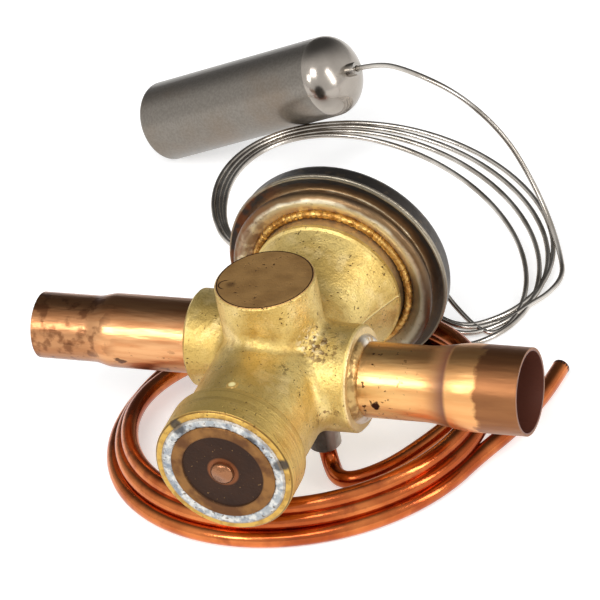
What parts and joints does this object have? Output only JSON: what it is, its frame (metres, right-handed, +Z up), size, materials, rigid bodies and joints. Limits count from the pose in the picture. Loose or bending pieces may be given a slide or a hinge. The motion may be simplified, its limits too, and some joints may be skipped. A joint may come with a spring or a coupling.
{
  "type": "refrigerant expansion valve",
  "caption": "Forged brass refrigerant expansion valve with a diaphragm head, two copper sockets, a coiled equalizer line and a sensing bulb on a coiled capillary.",
  "frame": {"origin": "under the middle of the valve, on the surface that the head's rim rests on, with the two lines and the bulb left out", "axes": "+X along the outlet tube, +Y along the main axis towards the diaphragm head, +Z up through the blank boss"},
  "size_m": [0.2205, 0.2643, 0.0832],
  "materials": {
    "brass": "forged and tumbled, dull and speckled",
    "copper": "drawn copper tube, dull with heat stains",
    "line_copper": "drawn copper tube, dark and lacquered",
    "silver_braze": "mottled silver braze",
    "gold_braze": "bright golden braze",
    "plug_steel": "heat-stained steel",
    "stainless": "satin stainless steel",
    "polished": "polished stainless steel",
    "head_steel": "stamped stainless steel with heat tint",
    "dark_steel": "dark oxidised steel",
    "inner_steel": "machined steel, oiled",
    "packing": "packing compound"
  },
  "bodies": {
    "valve": {"valve_body": "brass", "drilling_plug": "silver_braze", "inlet_tube": "copper", "outlet_tube": "copper", "inlet_braze": "silver_braze", "outlet_braze": "silver_braze", "end_plug": "plug_steel", "end_plug_braze": "silver_braze", "head_lower_cover": "head_steel", "head_upper_cover": "head_steel", "head_rim_weld": "stainless", "head_braze_bead": "gold_braze", "capillary_fitting": "stainless", "diaphragm": "stainless", "rod_packing": "packing", "valve_seat": "inner_steel", "superheat_spring": "inner_steel", "spring_seat": "inner_steel", "equalizer_fitting": "dark_steel", "equalizer_lead": "line_copper", "equalizer_coil": "line_copper", "equalizer_tail": "line_copper", "capillary_lead": "stainless", "capillary_coil": "stainless", "capillary_tail": "stainless", "bulb_tube": "stainless", "bulb_dome": "polished", "bulb_end_disc": "stainless", "bulb_ferrule": "polished"},
    "pin": {"valve_needle": "inner_steel", "needle_carrier": "inner_steel", "push_rods": "inner_steel", "diaphragm_pad": "inner_steel"}
  },
  "joints": [
    {"name": "pin_stroke", "type": "slide", "parent": "valve", "child": "pin", "axis": [0, -1, 0], "range_m": [0, 0.0012], "stiffness_N_per_m": 2000, "springref_m": -0.002, "deforming": ["superheat_spring", "diaphragm"]}
  ]
}
